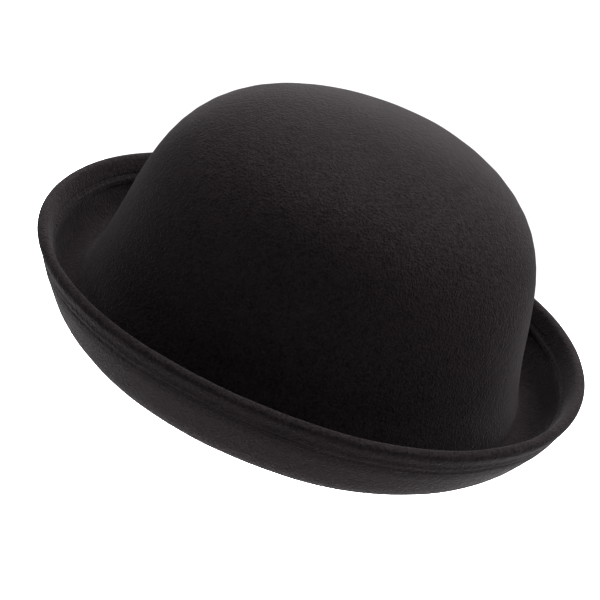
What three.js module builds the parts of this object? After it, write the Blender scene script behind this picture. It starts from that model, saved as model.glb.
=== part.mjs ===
// A felt bowler hat: one blocked felt body with a rolled brim and a turned, stitched and wired
// edge, and inside it a grosgrain sweatband with a hook-and-loop size adjuster at the back.
// Millimetres, +Z up, front towards -Y. The hat stands on its brim, with its lowest face at z = 0.
import * as THREE from "three";

// Felt and head opening. Surfaces are worked out at the middle of the felt's thickness.
const FELT = 2.7;
const HALF_FELT = FELT / 2;
const HALF_LENGTH = 99.65;
const HALF_WIDTH = 84.5;
const OVAL_POWER = 2.12;

// Crown. Heights run from the mean break line, where the brim leaves the crown.
const CROWN_HEIGHT = 118.9;
const DOME_POWER = 5.83;
const TAPER = 0.147;
const BASE_FLARE = 0.0736;
const FLARE_FALL = 0.2;
const CROWN_SHIFT_BACK = 4.5;
const BREAK_LIFT = 4.97;
const BREAK_WAVE = 3.7;
const BREAK_TILT = 1.04;
const BREAK_ROUNDING = 4;

// Brim. "Ends" are the front and the back, where it is wider and flatter than at the sides.
const BRIM_OUT = 18.2;
const BRIM_OUT_ENDS = 4.4;
const BRIM_UP = 27.2;
const BRIM_UP_ENDS = -3.0;
const BRIM_UP_TILT = -0.9;
const LEAVE_ANGLE = -16;
const RIM_ANGLE = 70.5;
const RIM_ANGLE_ENDS = -10.4;
const RIM_ANGLE_TILT = -5.9;
const LEAVE_PULL = 0.453;
const RIM_PULL = 0.47;

// Turned edge: the felt folds over a wire, back down the upper face, and is stitched through.
const FOLD_RADIUS = 2.65;
const FOLD_SLIT = 0.17;
const TUNNEL_RADIUS = 1.4;
const STITCH_LINE = 7.2;
const RAW_EDGE = 10.6;
const HEM_FADE = 4;
const LIP_LENGTH = 0.7;
const LIP_HEIGHT = 0.2;
const GROOVE_DEPTH = 0.9;
const GROOVE_HALF = 0.9;
const GROOVE_FLOOR_HALF = 0.3;
const HOLLOW_AT = 3.6;
const HOLLOW = 0.35;
const WIRE_RADIUS = 0.45;
const WIRE_END_GAP = 1.2;
const FERRULE_BORE = 0.75;
const FERRULE_RADIUS = 0.95;
const FERRULE_LENGTH = 11;
const THREAD_RADIUS = 0.28;

// Sweatband, from its sewn lower edge to its free upper edge.
const BAND_BOTTOM = 4.5;
const BAND_TOP = 29.5;
const BAND_THICKNESS = 0.8;
const BAND_GAP_ANGLE = 23;
const SEWN_DEPTH = 0.35;
const CHANNEL_DEPTH = 1.3;
const BACK_BULGE = 2.2;
const BULGE_FULL = 46;
const BULGE_END = 68;
const BAND_STITCH = 6;
const CHANNEL_LOW = 9.5;
const CHANNEL_HIGH = 24.5;

// Size adjuster. Its two strips lie on circles about one vertical axis, which the hook strip
// turns about when it is pulled tighter. Angles run from the back, towards +X.
const ADJUSTER_AXIS_Y = 16.7;
const ADJUSTER_RADIUS = 84;
const ADJUSTER_HEIGHT = 17.6;
const WALL_SLOPE = 0.219;
const STRIP_WIDTH = 10;
const STRIP_THICKNESS = 0.7;
const LOOP_DEPTH = 1.35;
const LOOP_FROM = -28;
const LOOP_TO = 12;
const HOOK_DEPTH = 2.4;
const HOOK_FROM = -11;
const HOOK_TO = 36;
const TAPE_LOW = 11;
const TAPE_HIGH = 20;
const TAPE_DEPTH = 0.35;
const TAPE_THICKNESS = 0.5;
const TAPE_START = 28;
const TAPE_END = 46;

// Labels, both blank.
const LABEL_WIDTH = 40;
const LABEL_LOW = 11;
const LABEL_HIGH = 23;
const LABEL_THICKNESS = 0.4;
const CARE_ANGLE = 238;
const CARE_WIDTH = 18;
const CARE_LOW = 24;
const CARE_HIGH = 50;

const ROUND = 60;
const CLEARANCE = 0.3;
const FULL_TURN = 2 * Math.PI;
const radians = THREE.MathUtils.degToRad;
const UP = new THREE.Vector3(0, 0, 1);

// ---------- shape of the felt ----------

const power = (value, exponent) => Math.sign(value) * Math.abs(value) ** exponent;

// A point of the head oval, for an angle t that runs from the front (0) through +X to the back.
function oval(t, scale, ovalPower = OVAL_POWER) {
  const x = HALF_WIDTH * scale * power(Math.sin(t), 2 / ovalPower);
  const y = -HALF_LENGTH * scale * power(Math.cos(t), 2 / ovalPower);
  return new THREE.Vector3(x, y, 0);
}

const breakHeight = (t) => BREAK_LIFT + BREAK_WAVE * Math.cos(2 * t) + BREAK_TILT * Math.cos(t);

// The crown at a share u of its height: 0 at the break line, 1 at the top.
function crownPoint(t, u) {
  const flare = BASE_FLARE * Math.exp(-u / FLARE_FALL);
  const scale = Math.sqrt(1 - u ** DOME_POWER) * (1 - TAPER * u + flare);
  const point = oval(t, scale, OVAL_POWER + (2 - OVAL_POWER) * u);
  point.y += CROWN_SHIFT_BACK * u;
  point.z = breakHeight(t) * (1 - u) + (BREAK_LIFT + CROWN_HEIGHT) * u;
  return point;
}

// The brim's section at one angle: distance out from the break line, and height above it.
function brimSection(t) {
  const ends = Math.cos(2 * t);
  const tilt = Math.cos(t);
  const out = BRIM_OUT + BRIM_OUT_ENDS * ends;
  const up = BRIM_UP + BRIM_UP_ENDS * ends + BRIM_UP_TILT * tilt;
  const chord = Math.hypot(out, up);
  const leave = radians(LEAVE_ANGLE);
  const arrive = radians(RIM_ANGLE + RIM_ANGLE_ENDS * ends + RIM_ANGLE_TILT * tilt);
  const pull = new THREE.Vector2(Math.cos(leave), Math.sin(leave)).multiplyScalar(LEAVE_PULL * chord);
  const push = new THREE.Vector2(Math.cos(arrive), Math.sin(arrive)).multiplyScalar(RIM_PULL * chord);
  const rim = new THREE.Vector2(out, up);
  return new THREE.CubicBezierCurve(new THREE.Vector2(), pull, rim.clone().sub(push), rim);
}

// The brim at a distance from its rim, along its section. Past the rim it runs straight on.
function brimPoint(t, fromRim) {
  const section = brimSection(t);
  const length = section.getLength();
  const share = THREE.MathUtils.clamp(1 - fromRim / length, 0, 1);
  const flat = section.getPointAt(share);
  if (fromRim < 0) flat.addScaledVector(section.getTangentAt(1), -fromRim);
  const base = oval(t, 1 + BASE_FLARE);
  const outward = new THREE.Vector3(base.x / HALF_WIDTH ** 2, base.y / HALF_LENGTH ** 2, 0).normalize();
  return base.addScaledVector(outward, flat.x).setZ(breakHeight(t) + flat.y);
}

const brimLength = (t) => brimSection(t).getLength();

// The middle of the felt. Stations below 0 are on the crown, as minus the height in mm;
// stations above 0 are on the brim, in mm out from the break line, whose corner is rounded.
function middle(t, station) {
  const onCrown = (height) => crownPoint(t, height / CROWN_HEIGHT);
  const onBrim = (distance) => brimPoint(t, brimLength(t) - distance);
  if (station <= -BREAK_ROUNDING) return onCrown(-station);
  if (station >= BREAK_ROUNDING) return onBrim(station);
  const bend = new THREE.QuadraticBezierCurve3(onCrown(BREAK_ROUNDING), onCrown(0), onBrim(BREAK_ROUNDING));
  return bend.getPoint((station + BREAK_ROUNDING) / (2 * BREAK_ROUNDING));
}

// A point off the middle of the felt: above 0 on the outer and upper side, below 0 on the
// inner and under side.
function feltPoint(t, station, offset) {
  if (station <= -CROWN_HEIGHT) return crownPoint(t, 1).addScaledVector(UP, offset);
  const step = 0.02;
  const turn = 0.002;
  const along = middle(t, station + step).sub(middle(t, station - step));
  const around = middle(t + turn, station).sub(middle(t - turn, station));
  const normal = around.cross(along).normalize().negate();
  return middle(t, station).addScaledVector(normal, offset);
}

const hemPoint = (t, fromRim, offset) => feltPoint(t, brimLength(t) - fromRim, offset);
const insidePoint = (t, height, depth) => feltPoint(t, -height, -HALF_FELT - depth);

// ---------- meshes from rows of points ----------

const TINY = 1e-4;

function triangle(list, a, b, c) {
  const flat = a.distanceTo(b) < TINY || b.distanceTo(c) < TINY || c.distanceTo(a) < TINY;
  if (!flat) list.push(...a.toArray(), ...b.toArray(), ...c.toArray());
}

function quad(list, a, b, c, d) {
  triangle(list, a, b, c);
  triangle(list, a, c, d);
}

// Joins rows of points into a closed skin. A closed loop of rows makes a ring; an open one is
// capped by pairing the first half of each end row with its second half.
function skin(rows, { ring = true, loop = true } = {}) {
  const list = [];
  const count = rows[0].length;
  const lastRow = ring ? rows.length : rows.length - 1;
  const lastPoint = loop ? count : count - 1;
  for (let i = 0; i < lastRow; i++) {
    const here = rows[i];
    const next = rows[(i + 1) % rows.length];
    for (let j = 0; j < lastPoint; j++) {
      const k = (j + 1) % count;
      quad(list, here[j], next[j], next[k], here[k]);
    }
  }
  if (!ring) {
    const [first, last] = [rows[0], rows.at(-1)];
    for (let j = 0; j < count / 2 - 1; j++) {
      const k = count - 1 - j;
      quad(list, first[j], first[j + 1], first[k - 1], first[k]);
      quad(list, last[k], last[k - 1], last[j + 1], last[j]);
    }
  }
  const geometry = new THREE.BufferGeometry();
  geometry.setAttribute("position", new THREE.Float32BufferAttribute(list, 3));
  geometry.computeVertexNormals();
  return geometry;
}

const hat = new THREE.Group();

function addPiece(name, geometry, color, roughness, metalness = 0) {
  const material = new THREE.MeshStandardMaterial({ color, roughness, metalness });
  const mesh = new THREE.Mesh(geometry, material);
  mesh.name = name;
  hat.add(mesh);
}

const FELT_BLACK = 0x1f1c1d;
const THREAD_BLACK = 0x171516;
const RIBBON_BLACK = 0x141315;
const TAPE_BLACK = 0x1a1a1c;
const LABEL_BLACK = 0x242326;
const LABEL_WHITE = 0xd9d6d0;
const STEEL = 0x8d9093;

// All the way round, from the front.
const roundAngles = Array.from({ length: ROUND }, (_, i) => (i / ROUND) * FULL_TURN);

// Part of the way round: the two ends, and the same angles as the full round in between.
function anglesBetween(start, end) {
  const middles = [];
  const step = 360 / ROUND;
  for (let a = Math.ceil((start + 1) / step) * step; a < end - 1; a += step) middles.push(a);
  return [start, ...middles, end].map(radians);
}

// ---------- felt body ----------

// The section at one angle, from the outside of the crown's top, down and out along the upper
// face to the edge, round the turned hem, and back along the underside to the inside of the top.
function feltSection(t) {
  const crownShares = [1, 0.985, 0.95, 0.89, 0.81, 0.7, 0.56, 0.42, 0.28, 0.15, 0.07];
  const brimShares = [0.35, 0.6, 0.8];
  const crown = crownShares.map((u) => -u * CROWN_HEIGHT);
  const corner = [-BREAK_ROUNDING, 0, BREAK_ROUNDING];
  const seat = [-BREAK_ROUNDING, -1, 2, BREAK_ROUNDING, 6];
  const clearOfHem = brimLength(t) - RAW_EDGE - HEM_FADE;
  const brim = brimShares.map((share) => BREAK_ROUNDING + share * (clearOfHem - BREAK_ROUNDING));
  const side = (bend, offset) =>
    [...crown, ...bend, ...brim, clearOfHem].map((station) => feltPoint(t, station, offset));
  const upper = side(corner, HALF_FELT);
  const under = side(seat, -HALF_FELT).reverse();
  for (const point of under) point.z = Math.max(point.z, 0);
  return [...upper, ...hemSection(t), ...under];
}

// The turned hem: distance in from the rim, and offset from the middle of the fold. It starts
// under the raw edge, runs out through the slit and round the wire's tunnel, back to the raw
// edge, and then round the outside of the fold to the outer face.
function hemSection(t) {
  const slit = [
    [RAW_EDGE + 1.2, 0.5],
    [RAW_EDGE + 0.4, -FOLD_SLIT],
    [TUNNEL_RADIUS, -FOLD_SLIT],
  ];
  const tunnel = arc(TUNNEL_RADIUS, [300, 240, 180, 120, 60]);
  const turnedLayer = [
    [TUNNEL_RADIUS, FOLD_SLIT],
    [RAW_EDGE - LIP_HEIGHT, FOLD_SLIT],
    [RAW_EDGE, 0.5],
    [RAW_EDGE, FOLD_RADIUS],
    [RAW_EDGE - LIP_LENGTH, FOLD_RADIUS + LIP_HEIGHT],
    ...groove(1),
    [HOLLOW_AT, FOLD_RADIUS],
  ];
  const crest = arc(FOLD_RADIUS, [90, 126, 162, 198, 234, 270]);
  const outerFace = [
    [HOLLOW_AT, HOLLOW - FOLD_RADIUS],
    ...groove(-1).reverse(),
    [RAW_EDGE + 1, -HALF_FELT - 0.3],
  ];
  const section = [...slit, ...tunnel, ...turnedLayer, ...crest, ...outerFace];
  return section.map(([fromRim, offset]) => hemPoint(t, fromRim, offset));
}

// Points of an arc round the middle of the fold, at angles in degrees.
function arc(radius, angles) {
  return angles.map(radians).map((turn) => [radius * Math.cos(turn), radius * Math.sin(turn)]);
}

// The groove that the row of stitches pulls into one face of the hem.
function groove(side) {
  const floor = FOLD_RADIUS - GROOVE_DEPTH;
  const points = [
    [STITCH_LINE + GROOVE_HALF, FOLD_RADIUS],
    [STITCH_LINE + GROOVE_FLOOR_HALF, floor],
    [STITCH_LINE - GROOVE_FLOOR_HALF, floor],
    [STITCH_LINE - GROOVE_HALF, FOLD_RADIUS],
  ];
  return points.map(([fromRim, offset]) => [fromRim, side * offset]);
}

function feltBody() {
  const rows = roundAngles.map(feltSection).reverse();
  addPiece("felt_body", skin(rows, { loop: false }), FELT_BLACK, 0.95);
}

// ---------- wire and threads of the edge ----------

// A round section about a point of the hem, given by distance in from the rim and offset.
function roundSection(t, fromRim, offset, radius, sides) {
  return Array.from({ length: sides }, (_, i) => {
    const turn = (i / sides) * FULL_TURN;
    return hemPoint(t, fromRim + radius * Math.cos(turn), offset - radius * Math.sin(turn));
  });
}

// The wire runs once round inside the fold, and its two ends meet in a ferrule at the back.
function brimWire() {
  const halfGap = THREE.MathUtils.radToDeg(WIRE_END_GAP / 2 / (HALF_LENGTH + BRIM_OUT));
  const angles = anglesBetween(180 + halfGap, 540 - halfGap);
  const rows = angles.map((t) => roundSection(t, 0, 0, WIRE_RADIUS, 6));
  addPiece("brim_wire", skin(rows, { ring: false }), STEEL, 0.4, 1);
}

function wireJoiner() {
  const halfAngle = FERRULE_LENGTH / 2 / (HALF_LENGTH + BRIM_OUT);
  const shares = [-1, 0, 1];
  const sides = 8;
  const sleeve = (radius) =>
    shares.map((share) => roundSection(Math.PI + share * halfAngle, 0, 0, radius, sides));
  const along = [...sleeve(FERRULE_RADIUS), ...sleeve(FERRULE_BORE).reverse()];
  const rows = Array.from({ length: sides }, (_, i) => along.map((section) => section[i])).reverse();
  addPiece("wire_joiner", skin(rows), STEEL, 0.5, 1);
}

// The two threads of one row of lockstitch, one on each face of the hem, in its grooves.
function hemThreads() {
  const depth = FOLD_RADIUS - GROOVE_DEPTH + CLEARANCE + THREAD_RADIUS;
  const threads = [["hem_bobbin_thread", depth], ["hem_needle_thread", -depth]];
  for (const [name, offset] of threads) {
    const rows = roundAngles.map((t) => roundSection(t, STITCH_LINE, offset, THREAD_RADIUS, 4));
    addPiece(name, skin(rows), THREAD_BLACK, 0.7);
  }
}

// ---------- sweatband ----------

// How far the band stands off the felt, so that the size tape and strips fit behind it.
function channelDepth(t) {
  const fromBack = THREE.MathUtils.radToDeg(Math.acos(-Math.cos(t)));
  const bulge = 1 - THREE.MathUtils.smoothstep(fromBack, BULGE_FULL, BULGE_END);
  return CHANNEL_DEPTH + BACK_BULGE * bulge;
}

// The profile of the band's side towards the felt, as height and depth off the felt.
function bandProfile(t) {
  const depth = channelDepth(t);
  return [
    [BAND_BOTTOM, SEWN_DEPTH],
    [BAND_BOTTOM + 3, SEWN_DEPTH],
    [CHANNEL_LOW, depth],
    [CHANNEL_HIGH, depth],
    [BAND_TOP, depth - SEWN_DEPTH],
  ];
}

// A strip of ribbon from one angle to another: a profile towards the felt, and a thickness.
function ribbonRows(angles, profileAt, thickness) {
  return angles.map((t) => {
    const profile = profileAt(t);
    const feltSide = profile.map(([height, depth]) => insidePoint(t, height, depth));
    const headSide = profile.map(([height, depth]) => insidePoint(t, height, depth + thickness));
    return [...feltSide, ...headSide.reverse()];
  });
}

const bandAngles = () => anglesBetween(180 + BAND_GAP_ANGLE, 540 - BAND_GAP_ANGLE);

function sweatband() {
  const rows = ribbonRows(bandAngles(), bandProfile, BAND_THICKNESS);
  addPiece("sweatband", skin(rows, { ring: false }), RIBBON_BLACK, 0.75);
}

function sweatbandThread() {
  const middleDepth = SEWN_DEPTH + BAND_THICKNESS + CLEARANCE + THREAD_RADIUS;
  const rows = bandAngles().map((t) => [0, 1, 2, 3].map((i) => {
    const turn = (i / 4) * FULL_TURN;
    const height = BAND_STITCH + THREAD_RADIUS * Math.cos(turn);
    return insidePoint(t, height, middleDepth + THREAD_RADIUS * Math.sin(turn));
  }));
  addPiece("sweatband_thread", skin(rows, { ring: false }), THREAD_BLACK, 0.7);
}

// ---------- size adjuster ----------

// The size tape runs in the channel behind the band, from the loop strip round the front.
function sizeTape() {
  const angles = anglesBetween(180 + TAPE_START, 540 - TAPE_END);
  const profile = [[TAPE_LOW, TAPE_DEPTH], [TAPE_HIGH, TAPE_DEPTH]];
  const rows = ribbonRows(angles, () => profile, TAPE_THICKNESS);
  addPiece("size_tape", skin(rows, { ring: false }), TAPE_BLACK, 0.8);
}

// A hook or loop strip: a band of a cone about the adjuster's axis, with rounded ends.
function adjusterStrip(name, depth, from, to, color, roughness) {
  const steps = Math.round((to - from) / 3);
  const rows = [];
  for (let i = 0; i <= steps; i++) {
    const angle = radians(from + ((to - from) * i) / steps);
    const nearEnd = i === 0 || i === steps;
    const half = (STRIP_WIDTH / 2) * (nearEnd ? 0.7 : 1);
    const row = [[half, 0], [-half, 0], [-half, STRIP_THICKNESS], [half, STRIP_THICKNESS]];
    rows.push(row.map(([height, inward]) => {
      const radius = ADJUSTER_RADIUS - depth - inward - WALL_SLOPE * height;
      const x = radius * Math.sin(angle);
      const y = ADJUSTER_AXIS_Y + radius * Math.cos(angle);
      return new THREE.Vector3(x, y, BREAK_LIFT + ADJUSTER_HEIGHT + height);
    }));
  }
  addPiece(name, skin(rows, { ring: false }), color, roughness);
}

function sizeAdjuster() {
  sizeTape();
  adjusterStrip("loop_strip", LOOP_DEPTH, LOOP_FROM, LOOP_TO, TAPE_BLACK, 0.9);
  adjusterStrip("hook_strip", HOOK_DEPTH, HOOK_FROM, HOOK_TO, TAPE_BLACK, 0.6);
}

// ---------- labels ----------

// A blank woven label on the front of the sweatband, held by a row of stitches at each end.
function wovenLabel() {
  const backDepth = CHANNEL_DEPTH + BAND_THICKNESS + CLEARANCE;
  const halfAngle = THREE.MathUtils.radToDeg(LABEL_WIDTH / 2 / HALF_LENGTH);
  const profile = [[LABEL_LOW, backDepth], [LABEL_HIGH, backDepth]];
  const rows = ribbonRows(anglesBetween(-halfAngle, halfAngle), () => profile, LABEL_THICKNESS);
  addPiece("woven_label", skin(rows, { ring: false }), LABEL_BLACK, 0.5);
  for (const [name, side] of [["label_stitches_left", 1], ["label_stitches_right", -1]]) {
    const t = radians(side * (halfAngle - 1));
    labelStitches(name, t, backDepth + LABEL_THICKNESS + CLEARANCE + THREAD_RADIUS);
  }
}

function labelStitches(name, t, depth) {
  const halfTurn = THREAD_RADIUS / HALF_LENGTH;
  const rows = [LABEL_LOW, (LABEL_LOW + LABEL_HIGH) / 2, LABEL_HIGH].map((height) => [
    insidePoint(t - halfTurn, height, depth),
    insidePoint(t, height, depth + THREAD_RADIUS),
    insidePoint(t + halfTurn, height, depth),
    insidePoint(t, height, depth - THREAD_RADIUS),
  ]);
  addPiece(name, skin(rows, { ring: false }), THREAD_BLACK, 0.7);
}

// A blank care label, tucked behind the top of the sweatband and lying on the felt.
function careLabel() {
  const halfAngle = THREE.MathUtils.radToDeg(CARE_WIDTH / 2 / HALF_WIDTH);
  const heights = [CARE_LOW, (CARE_LOW + CARE_HIGH) / 2, CARE_HIGH];
  const profile = heights.map((height) => [height, SEWN_DEPTH]);
  const angles = anglesBetween(CARE_ANGLE - halfAngle, CARE_ANGLE + halfAngle);
  const rows = ribbonRows(angles, () => profile, LABEL_THICKNESS);
  addPiece("care_label", skin(rows, { ring: false }), LABEL_WHITE, 0.5);
}

feltBody();
brimWire();
wireJoiner();
hemThreads();
sweatband();
sweatbandThread();
sizeAdjuster();
wovenLabel();
careLabel();

export default hat;
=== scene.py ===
"""Looks for the felt bowler hat: its real felt, stitches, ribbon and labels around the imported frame."""

import math

import bmesh
import bpy
import numpy as np
from mathutils import Matrix, Vector


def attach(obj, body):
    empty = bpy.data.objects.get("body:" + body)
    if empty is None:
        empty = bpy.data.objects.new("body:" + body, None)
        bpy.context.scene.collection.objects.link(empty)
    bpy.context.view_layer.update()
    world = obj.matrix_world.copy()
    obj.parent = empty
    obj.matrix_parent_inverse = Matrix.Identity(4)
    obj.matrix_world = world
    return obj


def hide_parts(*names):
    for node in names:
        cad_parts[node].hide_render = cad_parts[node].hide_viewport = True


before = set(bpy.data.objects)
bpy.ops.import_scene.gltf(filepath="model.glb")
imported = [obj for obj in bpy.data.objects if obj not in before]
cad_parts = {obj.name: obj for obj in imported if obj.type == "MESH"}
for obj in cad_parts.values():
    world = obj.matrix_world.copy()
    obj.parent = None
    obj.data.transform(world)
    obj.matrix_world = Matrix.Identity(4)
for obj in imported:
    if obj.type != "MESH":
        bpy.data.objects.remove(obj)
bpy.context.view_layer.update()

# Shape of the felt, in mm, as the CAD has it: surfaces run through the middle of its thickness.
MM = 0.001
FELT = 2.7
HALF_FELT = FELT / 2
HALF_LENGTH = 99.65
HALF_WIDTH = 84.5
OVAL_POWER = 2.12
CROWN_HEIGHT = 118.9
DOME_POWER = 5.83
TAPER = 0.147
BASE_FLARE = 0.0736
FLARE_FALL = 0.2
CROWN_SHIFT_BACK = 4.5
BREAK_LIFT = 4.97
BREAK_WAVE = 3.7
BREAK_TILT = 1.04
BREAK_ROUNDING = 4.0
BRIM_OUT = 18.2
BRIM_OUT_ENDS = 4.4
BRIM_UP = 27.2
BRIM_UP_ENDS = -3.0
BRIM_UP_TILT = -0.9
LEAVE_ANGLE = -16.0
RIM_ANGLE = 70.5
RIM_ANGLE_ENDS = -10.4
RIM_ANGLE_TILT = -5.9
LEAVE_PULL = 0.453
RIM_PULL = 0.47

# The turned edge and its row of lockstitch.
FOLD_RADIUS = 2.65
FOLD_SLIT = 0.17
TUNNEL_RADIUS = 1.4
STITCH_LINE = 7.2
RAW_EDGE = 10.6
SLIT_END = RAW_EDGE - 4
HEM_ZONE = RAW_EDGE + 4
GROOVE_DEPTH = 0.42
GROOVE_WIDTH = 1.0
OUTER_GROOVE = 0.22
SWELL = 0.09
SWELL_AT = 1.4
SWELL_WIDTH = 0.7
RAW_RIDGE = 0.42
RIDGE_AT = 1.7
RIDGE_WIDTH = 0.95
HOLLOW = 0.26
HOLLOW_AT = 3.6
HOLLOW_WIDTH = 1.2
UNDER_RAMP = 0.9
UNDER_FROM = 22.0
THREAD_RADIUS = 0.24
THREAD_SINK = 0.2
STITCH_RISE = 0.3
STITCHES = 190
COLUMNS_PER_STITCH = 4
POINTS_PER_STITCH = 8

# Sweatband, from its sewn lower edge to its free upper edge.
BAND_BOTTOM = 4.5
BAND_TOP = 29.5
BAND_THICKNESS = 0.8
BAND_GAP_ANGLE = 23
SEWN_DEPTH = 0.35
CHANNEL_DEPTH = 1.3
BACK_BULGE = 2.2
BULGE_FULL = 46
BULGE_END = 68
BAND_STITCH = 6.0
BAND_STITCHES = 148
BAND_THREAD_SINK = 0.15
BAND_STITCH_RISE = 0.42
CHANNEL_LOW = 9.5
CHANNEL_HIGH = 24.5
RIB_PITCH = 1.1
RIB_HEIGHT = 0.1
COLUMNS_PER_RIB = 4
# This one is in metres: the opening's mean radius.
MEAN_RADIUS = 0.0875

# Size adjuster, whose strips lie on circles about one vertical axis. Angles run from the back.
ADJUSTER_AXIS_Y = 16.7
ADJUSTER_RADIUS = 84.0
ADJUSTER_HEIGHT = 17.6
WALL_SLOPE = 0.219
STRIP_WIDTH = 10.0
STRIP_THICKNESS = 0.7
STRIP_CORNER = 3.0
LOOP_DEPTH = 1.35
LOOP_FROM = -28
LOOP_TO = 12
HOOK_DEPTH = 2.4
HOOK_FROM = -11
HOOK_TO = 36
TAPE_LOW = 11.0
TAPE_HIGH = 20.0
TAPE_DEPTH = 0.35
TAPE_THICKNESS = 0.5
TAPE_START = 28
TAPE_END = 46

# Labels, both blank.
LABEL_WIDTH = 40.0
LABEL_LOW = 11.0
LABEL_HIGH = 23.0
LABEL_THICKNESS = 0.4
LABEL_BACK = CHANNEL_DEPTH + BAND_THICKNESS + 0.3
LABEL_FOLD_RISE = 0.22
LABEL_SINK = 0.12
LABEL_STITCHES = 6
LABEL_STITCH_INSET = 1.75
LABEL_THREAD_RADIUS = 0.2
LABEL_THREAD_SINK = 0.06
LABEL_STITCH_RISE = 0.34
CARE_ANGLE = 238
CARE_WIDTH = 18.0
CARE_LOW = 24.0
CARE_HIGH = 50.0
CARE_THICKNESS = 0.25
CARE_LEAN = 2.2
CARE_CURL = 0.5

# Stage and lights, in metres and watts. The floor under the hat glows up at it: painted light that fills
# in the hat's shadow there.
WORLD = 0.01
FLOOR_HALF = 12.0
FLOOR_GAP = 0.0002
FLOOR_GLOW = 0.6
TABLE_GLOW = 6.6
TABLE_FROM = 0.105
TABLE_TO = 0.17
FLOOR_TONE = 0.1
LIGHTS = [
    # name, degrees round from the camera towards the right, elevation, size, energy
    ("key_softbox", 135, 55, 0.9, 88.0),
    ("back_softbox", 225, 55, 0.9, 65.0),
    ("low_back_softbox", 180, 12, 0.9, 27.0),
    ("side_softbox", 90, 32, 0.9, 26.0),
    ("front_right_softbox", 45, 32, 0.9, 11.0),
    ("front_left_softbox", -45, 32, 0.9, 11.0),
]
LIGHT_DISTANCE = 1.6
LIGHT_AIM = Vector((0, 0, 0.06))

# The camera: azimuth round from the front, elevation, roll, distance, and where it aims.
AZIMUTH = 102.89
ELEVATION = 28.03
ROLL = 17.96
DISTANCE = 0.8282
TARGET = Vector((0, 0, 0.0588))
AIM_RIGHT = -0.00476
AIM_UP = -0.02759
LENS = 109.53

TAU = 2 * math.pi
random = np.random.default_rng(11)


# ---------- shape of the felt ----------

def power(value, exponent):
    return np.sign(value) * np.abs(value) ** exponent


def oval(t, scale, oval_power=OVAL_POWER):
    """The head oval at angles t, from the front (0) through +X to the back."""
    x = HALF_WIDTH * scale * power(np.sin(t), 2 / oval_power)
    y = -HALF_LENGTH * scale * power(np.cos(t), 2 / oval_power)
    return x, y


def break_height(t):
    return BREAK_LIFT + BREAK_WAVE * np.cos(2 * t) + BREAK_TILT * np.cos(t)


def crown(t, height):
    """The crown at a height above the break line, where the brim leaves it."""
    u = np.clip(height / CROWN_HEIGHT, 0, 1)
    flare = BASE_FLARE * np.exp(-u / FLARE_FALL)
    scale = np.sqrt(1 - u**DOME_POWER) * (1 - TAPER * u + flare)
    x, y = oval(t, scale, OVAL_POWER + (2 - OVAL_POWER) * u)
    z = break_height(t) * (1 - u) + (BREAK_LIFT + CROWN_HEIGHT) * u
    return np.stack([x, y + CROWN_SHIFT_BACK * u, z], -1)


def brim_section(t):
    """The brim's section at each angle: out, up and distance run, and the rim's angle."""
    ends, tilt = np.cos(2 * t), np.cos(t)
    out = BRIM_OUT + BRIM_OUT_ENDS * ends
    up = BRIM_UP + BRIM_UP_ENDS * ends + BRIM_UP_TILT * tilt
    chord = np.hypot(out, up)
    arrive = np.radians(RIM_ANGLE + RIM_ANGLE_ENDS * ends + RIM_ANGLE_TILT * tilt)
    leave = math.radians(LEAVE_ANGLE)
    v = np.linspace(0, 1, 121)[:, None]
    pull, push = LEAVE_PULL * chord, RIM_PULL * chord
    first, second, third = 3 * v * (1 - v) ** 2, 3 * v**2 * (1 - v), v**3
    r = first * pull * math.cos(leave) + second * (out - push * np.cos(arrive)) + third * out
    z = first * pull * math.sin(leave) + second * (up - push * np.sin(arrive)) + third * up
    steps = np.hypot(np.diff(r, axis=0), np.diff(z, axis=0))
    run = np.vstack([np.zeros_like(out), np.cumsum(steps, axis=0)])
    return r, z, run, arrive


def brim(t, distance):
    """The brim at distances out from the break line. Past the rim it runs straight on."""
    r, z, run, arrive = brim_section(t)
    past = np.maximum(distance - run[-1][:, None], 0)
    flat_r = np.array([np.interp(d, s, q) for d, s, q in zip(distance, run.T, r.T)])
    flat_z = np.array([np.interp(d, s, q) for d, s, q in zip(distance, run.T, z.T)])
    flat_r = flat_r + past * np.cos(arrive)[:, None]
    flat_z = flat_z + past * np.sin(arrive)[:, None]
    x, y = oval(t, 1 + BASE_FLARE)
    nx, ny = x / HALF_WIDTH**2, y / HALF_LENGTH**2
    size = np.hypot(nx, ny)
    px = x[:, None] + (nx / size)[:, None] * flat_r
    py = y[:, None] + (ny / size)[:, None] * flat_r
    return np.stack([px, py, break_height(t)[:, None] + flat_z], -1)


def brim_length(t):
    return brim_section(t)[2][-1]


def middle(t, station):
    """The middle of the felt. Stations below 0 are on the crown, as minus the height in mm;
    stations above 0 are on the brim, in mm out from the break line, whose corner is rounded."""
    tt = np.broadcast_to(t[:, None], station.shape)
    near = BREAK_ROUNDING
    share = np.clip((station + near) / (2 * near), 0, 1)[..., None]
    flat = np.full(station.shape, near)
    bend = ((1 - share) ** 2 * crown(tt, flat) + share**2 * brim(t, flat)
            + 2 * share * (1 - share) * crown(tt, np.zeros(station.shape)))
    on_crown = crown(tt, np.maximum(-station, near))
    on_brim = brim(t, np.maximum(station, near))
    low, high = (station <= -near)[..., None], (station >= near)[..., None]
    return np.where(low, on_crown, np.where(high, on_brim, bend))


def felt(t, station, offset):
    """Points off the middle of the felt: above 0 on the outer and upper side."""
    step, turn = 0.02, 0.002
    along = middle(t, station + step) - middle(t, station - step)
    around = middle(t + turn, station) - middle(t - turn, station)
    normal = -np.cross(around, along)
    size = np.linalg.norm(normal, axis=-1, keepdims=True)
    at_top = (station <= -CROWN_HEIGHT + 0.01)[..., None]
    normal = np.where(at_top, [0.0, 0.0, 1.0], normal / np.maximum(size, 1e-9))
    return middle(t, station) + normal * offset[..., None]


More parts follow.
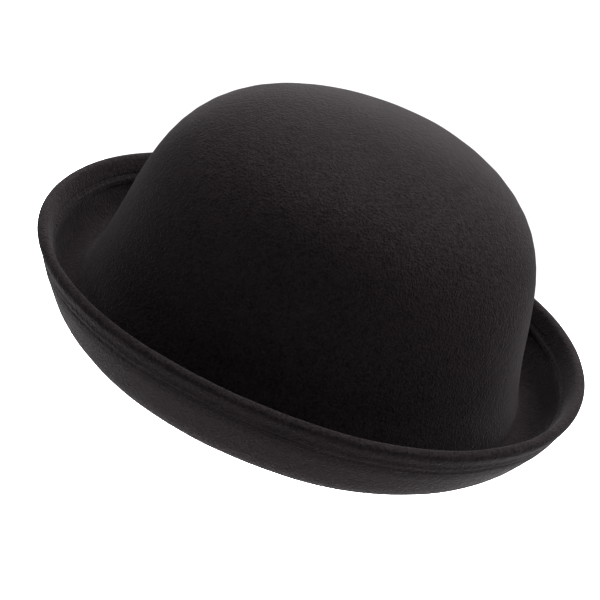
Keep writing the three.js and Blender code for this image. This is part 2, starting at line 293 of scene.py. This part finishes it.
def even_angles(count):
    """Angles whose points are evenly spaced round the rim."""
    t = np.linspace(0, TAU, 2881)
    rim = brim(t, brim_length(t)[:, None])[:, 0]
    run = np.concatenate([[0], np.cumsum(np.linalg.norm(np.diff(rim, axis=0), axis=1))])
    return np.interp(np.arange(count) / count * run[-1], run, t)


# ---------- meshes ----------

def skin(name, rows, ring=True, loop=True, sharp=None):
    """A closed mesh through rows of points in mm: ring joins the last row to the first, loop
    joins each row's last point to its first. An open run of rows is capped at both ends."""
    count, size = rows.shape[:2]
    index = np.arange(count * size).reshape(count, size)
    wide = np.vstack([index, index[:1]]) if ring else index
    wide = np.hstack([wide, wide[:, :1]]) if loop else wide
    a, b, c, d = wide[:-1, :-1], wide[1:, :-1], wide[1:, 1:], wide[:-1, 1:]
    faces = np.stack([a, b, c, d], -1).reshape(-1, 4).tolist()
    if not ring:
        faces += [index[0][::-1].tolist(), index[-1].tolist()]
    mesh = bpy.data.meshes.new(name)
    mesh.from_pydata((rows.reshape(-1, 3) * MM).tolist(), [], faces)
    tidy_mesh(mesh, sharp)
    piece = bpy.data.objects.new(name, mesh)
    bpy.context.scene.collection.objects.link(piece)
    return piece


def tidy_mesh(mesh, sharp):
    """Joins points that coincide, faces everything outwards and shades it smooth."""
    work = bmesh.new()
    work.from_mesh(mesh)
    bmesh.ops.remove_doubles(work, verts=work.verts, dist=1e-7)
    bmesh.ops.recalc_face_normals(work, faces=work.faces)
    work.to_mesh(mesh)
    work.free()
    mesh.shade_smooth()
    if sharp:
        mesh.set_sharp_from_angle(angle=math.radians(sharp))


def crown_heights(count):
    """Heights of rows spaced evenly along the crown's surface, from the top down."""
    height = np.linspace(CROWN_HEIGHT, BREAK_ROUNDING + 2, 4001)
    line = crown(np.full(height.shape, math.pi / 2), height)
    run = np.concatenate([[0], np.cumsum(np.linalg.norm(np.diff(line, axis=0), axis=1))])
    return np.interp(np.linspace(0, run[-1], count), run, height)


# ---------- felt body ----------

def ripples(t, waves, least, most, size):
    """A smooth random unevenness round the hat, from waves that go least to most times round."""
    total = np.zeros_like(t)
    for _ in range(waves):
        turns = int(random.integers(least, most + 1))
        total = total + np.cos(turns * t + TAU * random.random())
    return total * size / math.sqrt(waves / 2)


def unevenness(points, waves, shortest, size):
    """A smooth random unevenness over points in space, from plane waves of that length or more."""
    total = np.zeros(points.shape[:-1])
    for _ in range(waves):
        direction = random.normal(size=3)
        direction *= TAU / (shortest * (1 + 1.5 * random.random())) / np.linalg.norm(direction)
        total = total + np.cos(points @ direction + TAU * random.random())
    return total * size / math.sqrt(waves / 2)


def smooth(value, start, end):
    """A soft step from 0 at start to 1 at end."""
    share = np.clip((value - start) / (end - start), 0, 1)
    return share * share * (3 - 2 * share)


def bell(value, middle_value, width):
    """A soft bump that is 1 at its middle."""
    return np.exp(-(((value - middle_value) / width) ** 2))


def felt_body():
    """Crown, brim and turned edge as one skin, flattened where the hat stands on the table."""
    t = even_angles(STITCHES * COLUMNS_PER_STITCH)
    hole = np.maximum(np.cos(np.arange(len(t)) / COLUMNS_PER_STITCH * TAU), 0)[:, None] ** 2
    length = brim_length(t)[:, None]
    outside, inside = -crown_heights(26), -crown_heights(11)
    corner = np.array([-5.0, -3.2, -1.2, 1.0, 3.2, 5.0])
    seat = np.array([-5.0, -3.2, -1.0, 2.0, 4.0, 6.0])
    across = seat[-1] + np.linspace(0.16, 1, 8) * (length - HEM_ZONE - seat[-1])

    def all_round(stations):
        return np.broadcast_to(stations, (len(t), len(stations)))
    upper = np.hstack([all_round(outside), all_round(corner), across])
    under = np.hstack([all_round(inside), all_round(seat), across])[:, ::-1]
    from_rim, offset = hem_section(t[:, None], hole)
    station = np.hstack([upper, length - from_rim, under])
    below = -HALF_FELT - UNDER_RAMP * smooth(length - under, UNDER_FROM, HEM_ZONE - 3)
    offsets = np.hstack([np.full(upper.shape, HALF_FELT), offset, below])
    place = middle(t, station)
    sway = unevenness(place, waves=24, shortest=42, size=0.14)
    sway = sway + unevenness(place, waves=24, shortest=14, size=0.035)
    rows = felt(t, station, offsets + sway)
    first_under = rows.shape[1] - under.shape[1]
    rows[:, first_under:, 2] = np.maximum(rows[:, first_under:, 2], 0)
    return skin("felt_hat_body", rows, loop=False)


def hem_section(t, hole):
    """The turned edge as distance in from the rim and offset from the middle of the fold. The
    row of stitches pulls a soft groove into both faces, deepest at its holes."""
    raw = RAW_EDGE + ripples(t, waves=18, least=6, most=60, size=0.13)
    line = STITCH_LINE + ripples(t, waves=8, least=3, most=16, size=0.07)
    crest = 1 + ripples(t, waves=12, least=3, most=24, size=0.006)
    one = np.ones_like(t)

    def face(distance, depth, hollow, ridge):
        groove = depth * (0.8 + 0.35 * hole) * bell(distance, line, GROOVE_WIDTH)
        swell = SWELL * (1 - hole) * bell(np.abs(distance - line), SWELL_AT, SWELL_WIDTH)
        swell = swell + ridge * (1 - 0.3 * hole) * bell(distance - line, RIDGE_AT, RIDGE_WIDTH)
        return FOLD_RADIUS - groove + swell - hollow * bell(distance, HOLLOW_AT, HOLLOW_WIDTH)

    # Along the lower layer into the slit between the layers, and round the tunnel for the wire.
    points = [(raw + 3.1, 1.42), (raw + 2.2, 1.58), (raw + 1.5, 1.74), (raw + 1.05, 1.82)]
    points += [(raw + 0.84, 1.7), (raw + 0.1, 0.95), (raw - 1.0, 0.2), (SLIT_END, -FOLD_SLIT)]
    points += arc(TUNNEL_RADIUS, [353, 300, 240, 180, 120, 60, 7])
    # Out of the slit under the turned layer, and round its raw edge.
    points += [(SLIT_END, FOLD_SLIT), (raw - 1.1, 0.5), (raw - 0.05, 1.24), (raw + 0.64, 1.72)]
    points += [(raw + 0.92, 1.88), (raw + 0.8, 2.04), (raw + 0.45, 2.28), (raw, 2.52)]
    points += [(raw - 0.5, 2.74)]
    # Across the stitches to the rim, round it, and back across them on the outer face.
    beside = [2.4, 2.0, 1.6, 1.2, 0.8, 0.4, 0.1, -0.2, -0.5, -0.8, -1.2, -1.8]
    inner = [line + away for away in beside] + [away * one for away in (4.4, 3.0, 1.5)]
    points += [(distance, face(distance, GROOVE_DEPTH, 0, RAW_RIDGE)) for distance in inner]
    rim = arc(FOLD_RADIUS, [90, 112, 134, 157, 180, 203, 226, 248, 270])
    points += [(across * crest, up) for across, up in rim]
    outer = [away * one for away in (1.4, 2.2, 3.2, 4.4)] + [line + away for away in reversed(beside)]
    points += [(distance, -face(distance, OUTER_GROOVE, HOLLOW, 0)) for distance in outer]
    points += [(RAW_EDGE + 0.5, -FOLD_RADIUS + 0.06), (RAW_EDGE + 2.0, -FOLD_RADIUS + 0.18)]
    from_rim = np.hstack([distance * one for distance, _ in points])
    return from_rim, np.hstack([offset * one for _, offset in points])


def arc(radius, degrees):
    """Points on a circle about the fold's middle."""
    turns = [math.radians(a) for a in degrees]
    return [(radius * math.cos(a), radius * math.sin(a)) for a in turns]


# ---------- threads ----------

def tube(name, t, station, offset, radius, sides=6, ring=True):
    """A round thread along the felt, whose middle runs at those stations and offsets."""
    turn = np.arange(sides) / sides * TAU
    stations = station[:, None] + radius * np.cos(turn)
    offsets = offset[:, None] + radius * np.sin(turn)
    return skin(name, felt(t, stations, offsets), ring=ring)


def lift(phase):
    """How high a stitch stands between its holes, from 0 in a hole to 1 half way."""
    return np.abs(np.sin(math.pi * phase)) ** 0.6


def hem_stitches():
    """Both threads of the hem's lockstitch: each runs in its groove and dips at every hole."""
    t = even_angles(STITCHES * POINTS_PER_STITCH)
    phase = np.arange(len(t)) / POINTS_PER_STITCH
    station = brim_length(t) - STITCH_LINE
    faces = (("hem_bobbin_stitches", 1, GROOVE_DEPTH), ("hem_needle_stitches", -1, OUTER_GROOVE))
    made = []
    for name, side, groove in faces:
        depth = FOLD_RADIUS - groove - THREAD_SINK + STITCH_RISE * lift(phase)
        made.append(tube(name, t, station, side * depth, THREAD_RADIUS))
    return made


# ---------- ribbon, tapes and labels inside ----------

def inside(t, height, depth):
    """Points in front of the felt's inner face: height on the crown, and depth off the felt."""
    return felt(t, -height, -HALF_FELT - depth)


def ribbon(name, t, heights, depth, thickness, ribs=0.0, sharp=50):
    """A strip of cloth: depth(t, height) off the felt at its back, with ribs on both faces."""
    tt = t[:, None]
    height = np.broadcast_to(heights, (len(t), len(heights)))
    back = depth(tt, height) + 0 * height
    rib = ribs * np.cos(np.arange(len(t)) / COLUMNS_PER_RIB * TAU)[:, None]
    edge = np.minimum(height - height[:, :1], height[:, -1:] - height)
    slim = 0.5 * thickness * (1 - smooth(edge, 0, 0.5)) + 0 * height
    felt_side = inside(t, height, back + slim - np.where(slim > 0, 0, rib))
    head_side = inside(t, height, back + thickness - slim + np.where(slim > 0, 0, rib))
    rows = np.concatenate([felt_side, head_side[:, ::-1]], 1)
    return skin(name, rows, ring=False, sharp=sharp)


def strip_heights(low, high, edge, inset, count):
    """Heights across a strip, closer together along its two edges."""
    inner = np.linspace(low + inset, high - inset, count)
    return np.concatenate([[low, low + edge], inner, [high - edge, high]])


def from_back(t):
    """Degrees round from the middle of the back, either way."""
    return np.degrees(np.arccos(np.clip(-np.cos(t), -1, 1)))


def channel_depth(t):
    """How far the band's back stands off the felt, which is further over the size adjuster."""
    bulge = 1 - smooth(from_back(t), BULGE_FULL, BULGE_END)
    return CHANNEL_DEPTH + BACK_BULGE * bulge


def band_depth(t, height):
    """The band lies on the felt where it is sewn, and stands off it over the size tape."""
    rise = smooth(height, BAND_BOTTOM + 2.5, CHANNEL_LOW)
    fall = smooth(height, CHANNEL_HIGH, BAND_TOP)
    depth = SEWN_DEPTH + (channel_depth(t) - SEWN_DEPTH) * rise - SEWN_DEPTH * fall
    # Its free edge is a little wavy.
    wave = 0.13 * np.cos(9 * t + 0.6) + 0.1 * np.cos(23 * t + 2.0)
    return depth + wave * smooth(height, CHANNEL_LOW, BAND_TOP)


def sweatband():
    """A ribbed ribbon round the head opening, open at the back."""
    start, end = math.radians(180 + BAND_GAP_ANGLE), math.radians(540 - BAND_GAP_ANGLE)
    ribs = round((end - start) * (HALF_LENGTH + HALF_WIDTH) / 2 / RIB_PITCH)
    t = np.linspace(start, end, ribs * COLUMNS_PER_RIB + 1)
    heights = strip_heights(BAND_BOTTOM, BAND_TOP, 0.25, 0.6, 14)
    return ribbon("sweatband_ribbon", t, heights, band_depth, BAND_THICKNESS, RIB_HEIGHT)


def sweatband_stitches():
    """The seam along the sweatband's lower edge, which starts and stops just inside its ends."""
    start, end = math.radians(180.6 + BAND_GAP_ANGLE), math.radians(539.4 - BAND_GAP_ANGLE)
    t = np.linspace(start, end, BAND_STITCHES * POINTS_PER_STITCH + 1)
    phase = np.arange(len(t)) / POINTS_PER_STITCH
    depth = SEWN_DEPTH + BAND_THICKNESS - BAND_THREAD_SINK + BAND_STITCH_RISE * lift(phase)
    station = np.full(len(t), -BAND_STITCH)
    return tube("sweatband_stitches", t, station, -HALF_FELT - depth, THREAD_RADIUS, ring=False)


def size_tape():
    """Webbing in the channel behind the sweatband, as far as the adjuster's strips."""
    start, end = math.radians(180 + TAPE_START), math.radians(540 - TAPE_END)
    t = np.linspace(start, end, 420)
    heights = strip_heights(TAPE_LOW, TAPE_HIGH, 0.3, 1, 6)
    return ribbon("size_tape_webbing", t, heights, lambda t, h: TAPE_DEPTH + 0 * h, TAPE_THICKNESS)


def adjuster_strip(name, depth, start, end, rough):
    """A hook or loop strip: a band of a cone about the adjuster's axis, with rounded corners."""
    angle = np.radians(np.linspace(start, end, 140))
    from_end = np.minimum(angle - angle[0], angle[-1] - angle) * ADJUSTER_RADIUS
    corner = np.clip(STRIP_CORNER - from_end, 0, STRIP_CORNER)
    half = STRIP_WIDTH / 2 - STRIP_CORNER + np.sqrt(np.maximum(STRIP_CORNER**2 - corner**2, 0.02))
    across = np.linspace(1, -1, 13)
    height = half[:, None] * across
    slim = STRIP_THICKNESS * 0.3 * (np.abs(across) > 0.96)
    bumps = rough * random.random(height.shape)
    faces = []
    for inward, pile in ((slim, 0), (STRIP_THICKNESS - slim, bumps)):
        radius = ADJUSTER_RADIUS - depth - inward - pile - WALL_SLOPE * height
        x = radius * np.sin(angle)[:, None]
        y = ADJUSTER_AXIS_Y + radius * np.cos(angle)[:, None]
        faces.append(np.stack([x, y, BREAK_LIFT + ADJUSTER_HEIGHT + height], -1))
    return skin(name, np.concatenate([faces[0], faces[1][:, ::-1]], 1), ring=False, sharp=50)


def woven_label():
    """A blank label on the front of the sweatband, a little higher where its ends are folded under."""
    half = LABEL_WIDTH / 2 / HALF_LENGTH
    t = np.linspace(-half, half, 121)
    heights = strip_heights(LABEL_LOW, LABEL_HIGH, 0.2, 0.8, 9)

    def fold(t, h):
        from_end = (half - np.abs(t)) * HALF_LENGTH
        return LABEL_BACK - LABEL_SINK + LABEL_FOLD_RISE * (1 - smooth(from_end, 4.5, 5.5)) + 0 * h
    return ribbon("blank_woven_label", t, heights, fold, LABEL_THICKNESS)


def label_stitches(name, side):
    """The row of short stitches across one folded end of the woven label."""
    face = LABEL_BACK + LABEL_THICKNESS
    height = np.linspace(LABEL_LOW + 0.3, LABEL_HIGH - 0.3, LABEL_STITCHES * POINTS_PER_STITCH + 1)
    phase = np.arange(len(height)) / POINTS_PER_STITCH
    depth = face - LABEL_THREAD_SINK + LABEL_STITCH_RISE * lift(phase)
    turn = np.arange(6) / 6 * TAU
    from_middle = side * (LABEL_WIDTH / 2 - LABEL_STITCH_INSET) / HALF_LENGTH
    t = from_middle + LABEL_THREAD_RADIUS * np.cos(turn) / HALF_LENGTH
    rows = []
    for h, d in zip(height, depth):
        off = (d + LABEL_THREAD_RADIUS * np.sin(turn))[:, None]
        rows.append(inside(t, np.full(off.shape, h), off)[:, 0])
    return skin(name, np.array(rows), ring=False)


def care_label():
    """A soft white label with its lower end tucked behind the sweatband; its top leans out."""
    middle_t, half = math.radians(CARE_ANGLE), CARE_WIDTH / 2 / HALF_WIDTH
    t = np.linspace(middle_t - half, middle_t + half, 61)
    heights = np.linspace(CARE_LOW, CARE_HIGH, 40)

    def lean(t, h):
        free = smooth(h, BAND_TOP, CARE_HIGH)
        side = (t - middle_t) / half
        curl = CARE_CURL * free * np.cos(1.6 * side + 0.5) * side
        return SEWN_DEPTH + CARE_LEAN * free**1.5 + curl
    return ribbon("blank_care_label", t, heights, lean, CARE_THICKNESS)


# ---------- materials ----------

class Nodes:
    """A short way to write a material's nodes."""

    def __init__(self, name):
        self.material = bpy.data.materials.new(name)
        self.material.use_nodes = True
        self.tree = self.material.node_tree
        self.shader = self.tree.nodes["Principled BSDF"]

    def node(self, kind, links=(), **values):
        made = self.tree.nodes.new(kind)
        for key, value in values.items():
            setattr(made, key, value)
        for socket, value in dict(links).items():
            self.put(made, socket, value)
        return made

    def put(self, node, socket, value):
        target = node.inputs[socket]
        if isinstance(value, bpy.types.NodeSocket):
            self.tree.links.new(value, target)
        else:
            target.default_value = value

    def noise(self, where, scale, detail=3.0, rough=0.6, **extra):
        made = self.node("ShaderNodeTexNoise", {"Vector": where, "Scale": scale, "Detail": detail,
                                                "Roughness": rough, **extra})
        return made.outputs["Fac"]

    def ramp(self, value, low, high, to_low=0.0, to_high=1.0):
        made = self.node("ShaderNodeMapRange", {"Value": value, "From Min": low, "From Max": high,
                                                "To Min": to_low, "To Max": to_high})
        return made.outputs["Result"]

    def math(self, what, a, b=0.0):
        return self.node("ShaderNodeMath", {0: a, 1: b}, operation=what).outputs[0]

    def mix(self, share, a, b):
        made = self.node("ShaderNodeMix", data_type="RGBA")
        self.put(made, 0, share)
        self.put(made, 6, a)
        self.put(made, 7, b)
        return made.outputs[2]

    def bump(self, height, distance, strength=1.0, normal=None):
        made = self.node("ShaderNodeBump", {"Height": height, "Distance": distance,
                                            "Strength": strength})
        if normal is not None:
            self.put(made, "Normal", normal)
        return made.outputs["Normal"]


def felt_material():
    """Black wool felt: fine grain over short matted fibres, and almost no gloss."""
    n = Nodes("black_wool_felt")
    where = n.node("ShaderNodeTexCoord").outputs["Object"]
    grain = n.noise(where, 980.0, 2.0, 0.6)
    fibres = n.noise(where, 420.0, 3.0, 0.65, Distortion=0.8)
    tufts = n.noise(where, 190.0, 2.0, 0.6, Distortion=0.6)
    clouds = n.noise(where, 45.0, 2.0, 0.5)
    tone = n.math("ADD", n.math("MULTIPLY", grain, 0.5), n.math("MULTIPLY", fibres, 0.35))
    tone = n.math("ADD", tone, n.math("MULTIPLY", tufts, 0.1))
    tone = n.math("ADD", tone, n.math("MULTIPLY", clouds, 0.07))
    shade = n.ramp(tone, 0.38, 0.62)
    colour = n.mix(shade, (0.0023, 0.0017, 0.0018, 1), (0.0088, 0.0069, 0.0073, 1))
    n.put(n.shader, "Base Color", colour)
    n.put(n.shader, "Roughness", n.ramp(fibres, 0.3, 0.7, 0.86, 0.98))
    n.put(n.shader, "Specular IOR Level", 0.03)
    n.put(n.shader, "Sheen Weight", 0.044)
    n.put(n.shader, "Sheen Roughness", 0.25)
    n.put(n.shader, "Sheen Tint", (1.0, 0.95, 0.965, 1))
    fine = n.bump(grain, 0.00065)
    matted = n.bump(fibres, 0.0006, 0.9, fine)
    n.put(n.shader, "Normal", n.bump(tufts, 0.0005, 0.35, matted))
    return n.material


def thread_material():
    n = Nodes("black_polyester_thread")
    where = n.node("ShaderNodeTexCoord").outputs["Object"]
    fibres = n.noise(where, 2600.0, 2.0, 0.6)
    colour = n.mix(fibres, (0.0018, 0.0015, 0.0016, 1), (0.0070, 0.0058, 0.0061, 1))
    n.put(n.shader, "Base Color", colour)
    n.put(n.shader, "Roughness", 0.75)
    n.put(n.shader, "Specular IOR Level", 0.06)
    n.put(n.shader, "Sheen Weight", 0.01)
    n.put(n.shader, "Normal", n.bump(fibres, 0.00006))
    return n.material


def round_the_hat(n, pitch):
    """Waves round the hat's axis, one for each pitch in metres, for ribs and weaves."""
    where = n.node("ShaderNodeTexCoord").outputs["Object"]
    parts = n.node("ShaderNodeSeparateXYZ", {0: where})
    angle = n.math("ARCTAN2", parts.outputs[0], parts.outputs[1])
    around = n.math("SINE", n.math("MULTIPLY", angle, TAU * MEAN_RADIUS / pitch))
    return where, parts.outputs[2], around


def cloth_material(name, dark, light, pitch, weft, rough, spec, sheen, depth=0.0001):
    """Woven cloth: warp ribs round the hat crossed by fine weft threads."""
    n = Nodes(name)
    where, height, around = round_the_hat(n, pitch)
    across = n.math("SINE", n.math("MULTIPLY", height, TAU / weft))
    weave = n.math("MULTIPLY", n.ramp(around, -1, 1, 0.35, 1), n.ramp(across, -1, 1, 0.55, 1))
    lint = n.noise(where, 420.0, 4.0, 0.65)
    tone = n.math("ADD", n.math("MULTIPLY", weave, 0.6), n.math("MULTIPLY", lint, 0.4))
    n.put(n.shader, "Base Color", n.mix(n.ramp(tone, 0.25, 0.8), (*dark, 1), (*light, 1)))
    n.put(n.shader, "Roughness", n.ramp(lint, 0.3, 0.7, rough - 0.08, rough + 0.06))
    n.put(n.shader, "Specular IOR Level", spec)
    n.put(n.shader, "Sheen Weight", sheen)
    n.put(n.shader, "Sheen Roughness", 0.4)
    n.put(n.shader, "Normal", n.bump(weave, depth))
    return n.material


def pile_material(name, scale, depth, dark, light, rough):
    """The looped or hooked face of a touch fastener."""
    n = Nodes(name)
    where = n.node("ShaderNodeTexCoord").outputs["Object"]
    cells = n.node("ShaderNodeTexVoronoi", {"Vector": where, "Scale": scale}).outputs["Distance"]
    curls = n.noise(where, scale * 0.7, 3.0, 0.7, Distortion=2.0)
    tone = n.math("ADD", n.math("MULTIPLY", cells, 0.6), n.math("MULTIPLY", curls, 0.5))
    n.put(n.shader, "Base Color", n.mix(n.ramp(tone, 0.2, 0.8), (*dark, 1), (*light, 1)))
    n.put(n.shader, "Roughness", rough)
    n.put(n.shader, "Specular IOR Level", 0.35)
    n.put(n.shader, "Sheen Weight", 0.2)
    n.put(n.shader, "Normal", n.bump(tone, depth))
    return n.material


def steel_material():
    n = Nodes("drawn_steel")
    where = n.node("ShaderNodeTexCoord").outputs["Object"]
    scuff = n.noise(where, 900.0, 3.0, 0.6)
    n.put(n.shader, "Base Color", n.mix(scuff, (0.34, 0.35, 0.36, 1), (0.52, 0.53, 0.54, 1)))
    n.put(n.shader, "Metallic", 1.0)
    n.put(n.shader, "Roughness", n.ramp(scuff, 0.3, 0.7, 0.28, 0.46))
    n.put(n.shader, "Normal", n.bump(scuff, 0.00002))
    return n.material


# ---------- stage, light and camera ----------

def floor():
    """A pale floor that glows like a lamp, most under the hat: painted light that fills in the hat's
    shadow on it and lights the hat from below.
    """
    mesh = bpy.data.meshes.new("floor")
    corners = [(-1, -1), (1, -1), (1, 1), (-1, 1)]
    mesh.from_pydata([(x * FLOOR_HALF, y * FLOOR_HALF, 0) for x, y in corners], [], [(0, 1, 2, 3)])
    plane = bpy.data.objects.new("floor", mesh)
    bpy.context.scene.collection.objects.link(plane)
    plane.location.z = -FLOOR_GAP
    n = Nodes("pale_floor")
    n.put(n.shader, "Base Color", (FLOOR_TONE, FLOOR_TONE, FLOOR_TONE, 1))
    n.put(n.shader, "Emission Color", (1, 1, 1, 1))
    parts = n.node("ShaderNodeSeparateXYZ", {0: n.node("ShaderNodeTexCoord").outputs["Object"]})
    along = n.math("MULTIPLY", parts.outputs[1], HALF_WIDTH / HALF_LENGTH)
    squares = n.math("ADD", n.math("POWER", parts.outputs[0], 2.0), n.math("POWER", along, 2.0))
    away = n.math("SQRT", squares)
    # Emission is strongest under the hat: a painted pool of light where the hat's shadow would fall.
    n.put(n.shader, "Emission Strength", n.ramp(away, TABLE_FROM, TABLE_TO, TABLE_GLOW, FLOOR_GLOW))
    n.put(n.shader, "Roughness", 0.9)
    n.put(n.shader, "Specular IOR Level", 0.0)
    mesh.materials.append(n.material)


def area_light(name, place, aim, size, energy):
    data = bpy.data.lights.new(name, "AREA")
    data.shape = "DISK"
    data.size = size
    data.energy = energy
    light = bpy.data.objects.new(name, data)
    bpy.context.scene.collection.objects.link(light)
    light.location = place
    light.rotation_euler = (Vector(aim) - Vector(place)).to_track_quat("-Z", "Y").to_euler()


def direction(turn, rise):
    """The way from the hat at an azimuth round from its front and an elevation, in degrees."""
    a, e = math.radians(turn), math.radians(rise)
    return Vector((math.sin(a) * math.cos(e), -math.cos(a) * math.cos(e), math.sin(e)))


def lights():
    """Soft boxes all round, and a dim world that the camera sees as white."""
    world = bpy.data.worlds.new("studio")
    bpy.context.scene.world = world
    world.use_nodes = True
    tree = world.node_tree
    soft = tree.nodes["Background"]
    soft.inputs["Color"].default_value = (1, 1, 1, 1)
    soft.inputs["Strength"].default_value = WORLD
    seen = tree.nodes.new("ShaderNodeBackground")
    seen.inputs["Color"].default_value = (1, 1, 1, 1)
    seen.inputs["Strength"].default_value = 1.0
    choose = tree.nodes.new("ShaderNodeMixShader")
    path = tree.nodes.new("ShaderNodeLightPath")
    tree.links.new(path.outputs["Is Camera Ray"], choose.inputs[0])
    tree.links.new(soft.outputs[0], choose.inputs[1])
    tree.links.new(seen.outputs[0], choose.inputs[2])
    tree.links.new(choose.outputs[0], tree.nodes["World Output"].inputs["Surface"])
    for name, side, elevation, size, energy in LIGHTS:
        place = LIGHT_AIM + direction(AZIMUTH + side, elevation) * LIGHT_DISTANCE
        area_light(name, place, LIGHT_AIM, size, energy)
    view = bpy.context.scene.view_settings
    view.view_transform = "Standard"
    view.look = "None"


def camera():
    a, roll = math.radians(AZIMUTH), math.radians(ROLL)
    back = direction(AZIMUTH, ELEVATION)
    side = Vector((math.cos(a), math.sin(a), 0))
    place = TARGET + back * DISTANCE
    aim = TARGET + side * AIM_RIGHT + back.cross(side) * AIM_UP
    away = (place - aim).normalized()
    right = Vector((0, 0, 1)).cross(away).normalized()
    up = away.cross(right)
    rolled = right * math.cos(roll) + up * math.sin(roll)
    upright = away.cross(rolled)
    data = bpy.data.cameras.new("camera")
    data.lens = LENS
    data.sensor_width = 36
    data.clip_start = 0.01
    data.clip_end = 60
    camera_object = bpy.data.objects.new("camera", data)
    bpy.context.scene.collection.objects.link(camera_object)
    turn = Matrix((rolled, upright, away)).transposed().to_4x4()
    camera_object.matrix_world = Matrix.Translation(place) @ turn
    bpy.context.scene.camera = camera_object


def add(piece, material, slot, *nodes, body="hat"):
    """Gives a piece its material and body, and hides the CAD nodes that it stands for. Its slot is not
    used.
    """
    piece.data.materials.append(material)
    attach(piece, body)
    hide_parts(*nodes)
    return piece


camera()
floor()
lights()

thread = thread_material()
body = add(felt_body(), felt_material(), "felt", "felt_body")
bobbin, needle = hem_stitches()
add(bobbin, thread, "thread", "hem_bobbin_thread")
add(needle, thread, "thread", "hem_needle_thread")
steel = steel_material()
for name in ("brim_wire", "wire_joiner"):
    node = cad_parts[name]
    node.data.materials.clear()
    node.data.materials.append(steel)

grosgrain = cloth_material("black_grosgrain", (0.006, 0.0057, 0.0065), (0.024, 0.023, 0.025),
                           0.00055, 0.0004, 0.55, 0.4, 0.12)
band = add(sweatband(), grosgrain, "ribbon", "sweatband")
add(sweatband_stitches(), thread, "thread", "sweatband_thread")
tape_cloth = cloth_material("black_webbing", (0.008, 0.008, 0.009), (0.030, 0.030, 0.032),
                            0.0009, 0.0007, 0.7, 0.3, 0.1)
add(size_tape(), tape_cloth, "tape", "size_tape")
loops = pile_material("black_loop_pile", 1500.0, 0.0003,
                      (0.006, 0.006, 0.007), (0.030, 0.030, 0.032), 0.9)
hooks = pile_material("black_hook_pile", 1100.0, 0.0002,
                      (0.007, 0.007, 0.008), (0.026, 0.026, 0.028), 0.55)
loop_strip = adjuster_strip("loop_fastener", LOOP_DEPTH, LOOP_FROM, LOOP_TO, 0.1)
hook_strip = adjuster_strip("hook_fastener", HOOK_DEPTH, HOOK_FROM, HOOK_TO, 0.05)
add(loop_strip, loops, "loop_tape", "loop_strip")
add(hook_strip, hooks, "hook_tape", "hook_strip", body="size_adjuster")
satin = cloth_material("black_label_satin", (0.010, 0.010, 0.011), (0.045, 0.044, 0.048),
                       0.00035, 0.0005, 0.38, 0.5, 0.1, 0.00005)
label = add(woven_label(), satin, "label", "woven_label")
add(label_stitches("label_stitches_near", 1), thread, "thread", "label_stitches_left")
add(label_stitches("label_stitches_far", -1), thread, "thread", "label_stitches_right")
white_satin = cloth_material("white_care_satin", (0.50, 0.49, 0.47), (0.74, 0.73, 0.70),
                             0.0004, 0.0004, 0.4, 0.5, 0.1, 0.00004)
care = add(care_label(), white_satin, "care_label", "care_label")
